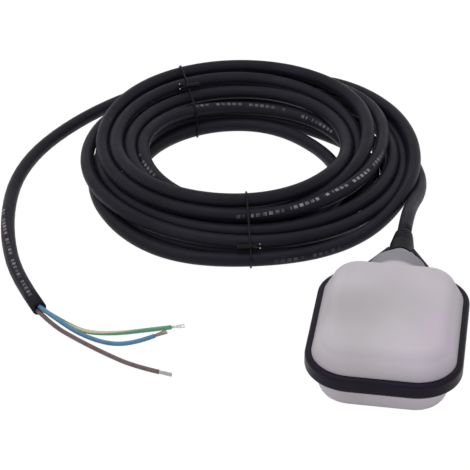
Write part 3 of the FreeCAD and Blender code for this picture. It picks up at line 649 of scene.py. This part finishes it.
def settled(targets, steps, pull, points):
    """Strands that would lie in each other are pushed a diameter apart, and their bends even out."""
    order = np.arange(len(points))
    other_strand = np.abs(order[:, None] - order[None, :]) > points_in_quarter / 2
    straight = (targets[:-2] + targets[2:]) / 2 - targets[1:-1]
    for _ in range(steps):
        squares = (points ** 2).sum(axis=1)
        apart = np.sqrt(np.maximum(squares[:, None] + squares[None, :] - 2 * points @ points.T, 1e-12))
        overlap = np.where(other_strand & (apart < cable_size), cable_size - apart, 0.0)
        push = overlap * settling_share / apart
        bend = np.zeros_like(points)
        bend[1:-1] = (points[:-2] + points[2:]) / 2 - points[1:-1] - straight
        points = (points + points * push.sum(axis=1)[:, None] - push @ points
                  + settling_share * bend + pull * (targets - points))
        points[:, 2] = np.maximum(points[:, 2], strand_height)
        points[:2] = targets[:2]
        points[-2:] = targets[-2:]
    return points


def coil_line():
    """The middle line of the whole coil, as control points."""
    targets = coil_targets()
    points = targets
    for steps, pull in coil_settling:
        points = settled(targets, steps, pull, points)
    return points


def make_cable(finish):
    """One sheath from the boot by all turns of the coil to its open end, and its middle line."""
    route = lead_route + [tuple(point) for point in coil_line()] + tail_route
    path = spline_line("cable_line", route, cable_line_steps)
    cable = tube("cable", path, cable_size / 2, cable_sides, mouth=(sheath_wall, sheath_mouth))
    cable.data.materials.append(finish)
    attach(cable, "float")
    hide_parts("cable_lead", "cable_coil", "cable_tail")
    return path


# Geometry Nodes

def twisted_tree():
    """Strands that wind round each other from a place along a direction."""
    tree = bpy.data.node_groups.new("twisted_strands", "GeometryNodeTree")
    tree.interface.new_socket("Geometry", in_out="OUTPUT", socket_type="NodeSocketGeometry")
    for name, kind in (("Strands", "Int"), ("Strand radius", "Float"), ("Start radius", "Float"),
                       ("End radius", "Float"), ("Length", "Float"), ("Turns", "Float"),
                       ("Direction", "Vector"), ("Place", "Vector"), ("Finish", "Material")):
        tree.interface.new_socket(name, in_out="INPUT", socket_type="NodeSocket" + kind)

    def add(kind, feeds, **settings):
        return add_node(tree, kind, feeds, **settings).outputs[0]

    given = add_node(tree, "NodeGroupInput", {}).outputs
    spiral = add("GeometryNodeCurveSpiral", {
        "Resolution": strand_steps, "Rotations": given["Turns"], "Start Radius": given["Start radius"],
        "End Radius": given["End radius"], "Height": given["Length"]})
    starts = add("GeometryNodeMeshLine", {"Count": given["Strands"], "Offset": (0, 0, 0)}, mode="OFFSET")
    number = add("GeometryNodeInputIndex", {})
    share = add("ShaderNodeMath", {0: number, 1: given["Strands"]}, operation="DIVIDE")
    turned = add("ShaderNodeMath", {0: share, 1: 2 * math.pi}, operation="MULTIPLY")
    turn = add("ShaderNodeCombineXYZ", {"Z": turned})
    placed = add("GeometryNodeInstanceOnPoints", {"Points": starts, "Instance": spiral, "Rotation": turn})
    lines = add("GeometryNodeRealizeInstances", {0: placed})
    ring = add("GeometryNodeCurvePrimitiveCircle",
               {"Resolution": strand_sides, "Radius": given["Strand radius"]}, mode="RADIUS")
    wires = add("GeometryNodeCurveToMesh", {"Curve": lines, "Profile Curve": ring, "Fill Caps": True})
    upright = add("FunctionNodeAlignRotationToVector", {"Vector": given["Direction"]}, axis="Z")
    moved = add("GeometryNodeTransform",
                {"Geometry": wires, "Translation": given["Place"], "Rotation": upright})
    soft = add("GeometryNodeSetShadeSmooth", {"Geometry": moved})
    real = add("GeometryNodeRealizeInstances", {0: soft})
    coat = add("GeometryNodeSetMaterial", {"Geometry": real, "Material": given["Finish"]})
    add_node(tree, "NodeGroupOutput", {0: coat})
    return tree


def grown(name, tree, **sizes):
    """The plain mesh piece that a node tree makes from these sizes."""
    piece = bpy.data.objects.new(name, bpy.data.meshes.new(name))
    bpy.context.collection.objects.link(piece)
    growth = piece.modifiers.new("growth", "NODES")
    growth.node_group = tree
    sockets = {item.name: item.identifier for item in tree.interface.items_tree if item.in_out == "INPUT"}
    for size, value in sizes.items():
        growth[sockets[size.replace("_", " ")]] = value
    made = bpy.data.meshes.new_from_object(piece.evaluated_get(bpy.context.evaluated_depsgraph_get()))
    piece.modifiers.remove(growth)
    piece.data = made
    return piece


def make_cores(twists, finishes):
    """The three cores fan out of the sheath's mouth, each with its bare conductor."""
    end = Vector(tail_route[-1])
    ahead = (end - Vector(tail_route[-2])).normalized()
    side = Vector((ahead.y, -ahead.x, 0.0))
    up = Vector((0.0, 0.0, 1.0))
    thirds = {"brown": side * math.cos(math.radians(30)) - up / 2, "blue": up,
              "earth": -side * math.cos(math.radians(30)) - up / 2}
    for name, route in core_routes.items():
        start = end + thirds[name] * core_circle
        path = spline_line(name + "_core_line", [tuple(start)] + route, core_line_steps)
        core = tube(name + "_core_piece", path, core_size / 2, core_sides)
        core.data.materials.append(finishes[name])
        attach(core, "float")
        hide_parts(name + "_core")
        length, strands, turns, strand, start_circle, end_circle, metal = bare_ends[name]
        way = (Vector(route[-1]) - Vector(route[-2])).normalized()
        wires = grown(name + "_strands", twists, Strands=strands, Strand_radius=strand,
                      Start_radius=start_circle, End_radius=end_circle, Length=length, Turns=turns,
                      Direction=way, Place=Vector(route[-1]) - way * conductor_seat, Finish=finishes[metal])
        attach(wires, "float")
        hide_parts(name + "_conductor")


# Ties

def strands_at(path, point, way):
    """Where the cable passes an upright plane: (distance along the plane from its point, height)."""
    side = np.array([-way.y, way.x])
    flat = path[:, :2] - np.array(point)
    out, off = flat @ np.array(way), flat @ side
    places = []
    for index in np.nonzero(off[:-1] * off[1:] <= 0)[0]:
        share = off[index] / (off[index] - off[index + 1])
        reach = out[index] + share * (out[index + 1] - out[index])
        height = path[index, 2] + share * (path[index + 1, 2] - path[index, 2])
        if abs(reach) < tie_reach:
            places.append((reach, height))
    return np.array(places)


def tie_loop(strands):
    """The closed line that a tight wire takes round the strands, with its corners eased."""
    clear = (cable_size + tie_wire) / 2
    turn = np.linspace(0, 2 * math.pi, tie_corners, endpoint=False)
    rim = np.stack([np.cos(turn), np.sin(turn)], axis=1) * clear
    around = (strands[:, None, :] + rim[None, :, :]).reshape(-1, 2)
    corners = around[convex_hull_2d([Vector(p) for p in around])]
    closed = np.vstack([corners, corners[:1]])
    run = np.concatenate([[0.0], np.cumsum(np.linalg.norm(np.diff(closed, axis=0), axis=1))])
    asked = np.linspace(0, run[-1], tie_points, endpoint=False)
    loop = np.stack([np.interp(asked, run, closed[:, 0]), np.interp(asked, run, closed[:, 1])], axis=1)
    middle = strands.mean(axis=0)
    for _ in range(tie_easing):
        even = (np.roll(loop, 1, axis=0) + np.roll(loop, -1, axis=0)) / 2
        inward = middle - loop
        inward /= np.linalg.norm(inward, axis=1)[:, None]
        loop = even + inward * tie_wire * tie_pull
        for strand in strands:
            away = loop - strand
            distance = np.linalg.norm(away, axis=1)
            inside = distance < clear
            loop[inside] = strand + away[inside] / distance[inside, None] * clear
        loop[:, 1] = np.maximum(loop[:, 1], tie_wire / 2)
    return loop


def make_tie(name, cable_path, twists, finishes):
    """A wire tie, with its twisted ends laid one way along the strands and its two tips the other way."""
    point, way, knot = tie_places[name]
    loop = tie_loop(strands_at(cable_path, point, way))
    path = np.stack([point.x + loop[:, 0] * way.x, point.y + loop[:, 0] * way.y, loop[:, 1]], axis=1)
    band = tube(name + "_loop", path, tie_wire / 2, tie_sides, closed=True)
    band.data.materials.append(finishes["tie"])
    nearest = int(np.argmin(np.linalg.norm(loop - np.array(knot), axis=1)))
    reach, height = loop[nearest] - loop.mean(axis=0)
    outward = Vector((way.x * reach, way.y * reach, height)).normalized()
    along = Vector((-way.y, way.x, 0.0))
    flat_way = Vector((way.x, way.y, 0.0))
    seat = Vector(path[nearest]) + outward * tie_wire * tie_seat
    twist = grown(name + "_twist", twists, Strands=tie_twist_strands, Strand_radius=tie_wire / 2,
                  Start_radius=tie_twist_circle, End_radius=tie_twist_circle, Length=tie_twist,
                  Turns=tie_twist_turns, Direction=-along, Place=seat + along * tie_twist_shift,
                  Finish=finishes["tie"])
    pieces = [band, twist]
    for number, lift in enumerate(tie_tip_lifts):
        tip_way = (along + outward * lift + flat_way * lift).normalized()
        route = [seat, seat + tip_way * tie_tip * 0.5,
                 seat + tip_way * tie_tip + outward * lift * tie_tip_bend]
        line = spline_line(name + "_tip_line", [tuple(place) for place in route], tie_tip_steps)
        tip = tube(name + "_tip_%d" % number, line, tie_wire / 2, tie_tip_sides)
        tip.data.materials.append(finishes["tie"])
        end_way = (line[-1] - line[-2]) / np.linalg.norm(line[-1] - line[-2])
        core_line = np.array([line[-1], line[-1] + end_way * tie_core_length])
        core = tube(name + "_tip_core_%d" % number, core_line, tie_core / 2, tie_core_sides)
        core.data.materials.append(finishes["tinned"])
        pieces += [tip, core]
    for piece in pieces:
        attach(piece, "float")
    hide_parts(name)


set_camera()
set_room()
set_floor()
soft_lamp("key", key_place, key_size, key_power)
soft_lamp("fill", fill_place, fill_size, fill_power)

finishes = {"sheath": sheath_rubber(), "shell": milky_shell(), "earth": striped_sheath()}
for finish, (name, dark, light, scale, rough, depth, sockets) in plain_finishes.items():
    finishes[finish] = mottled(name, srgb(*dark), srgb(*light), scale, rough, depth, **sockets)
cable_path = make_cable(finishes["sheath"])
twists = twisted_tree()
make_cores(twists, finishes)
for tie in tie_places:
    make_tie(tie, cable_path, twists, finishes)
for finish, nodes in node_finishes.items():
    for node in nodes:
        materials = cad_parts[node].data.materials
        materials.clear()
        materials.append(finishes[finish])

bpy.context.scene.view_settings.view_transform = "Standard"
